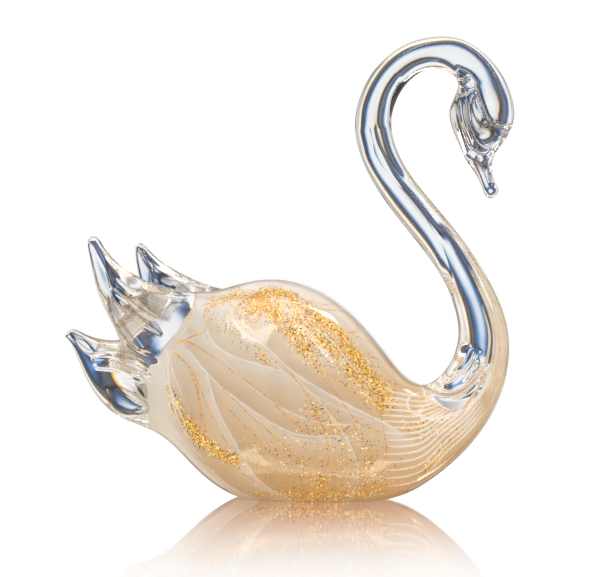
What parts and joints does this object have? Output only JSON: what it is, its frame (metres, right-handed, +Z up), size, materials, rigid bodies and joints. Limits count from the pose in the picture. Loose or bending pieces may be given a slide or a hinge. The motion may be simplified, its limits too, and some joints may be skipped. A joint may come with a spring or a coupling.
{
  "type": "crystal swan figurine",
  "caption": "Swan resting on its rounded body, in solid clear glass, with an S-shaped neck arching over, upswept wing tips and a short tail.",
  "frame": {"origin": "centre of the bounding box in plan, on the ground flat that the swan stands on", "axes": "+X the way the chest and head face, +Y the swan's left wing, +Z up"},
  "size_m": [0.2404, 0.1068, 0.2398],
  "materials": {
    "clear_glass": "fire polished"
  },
  "bodies": {
    "root": {"swan": "clear_glass"}
  },
  "joints": []
}
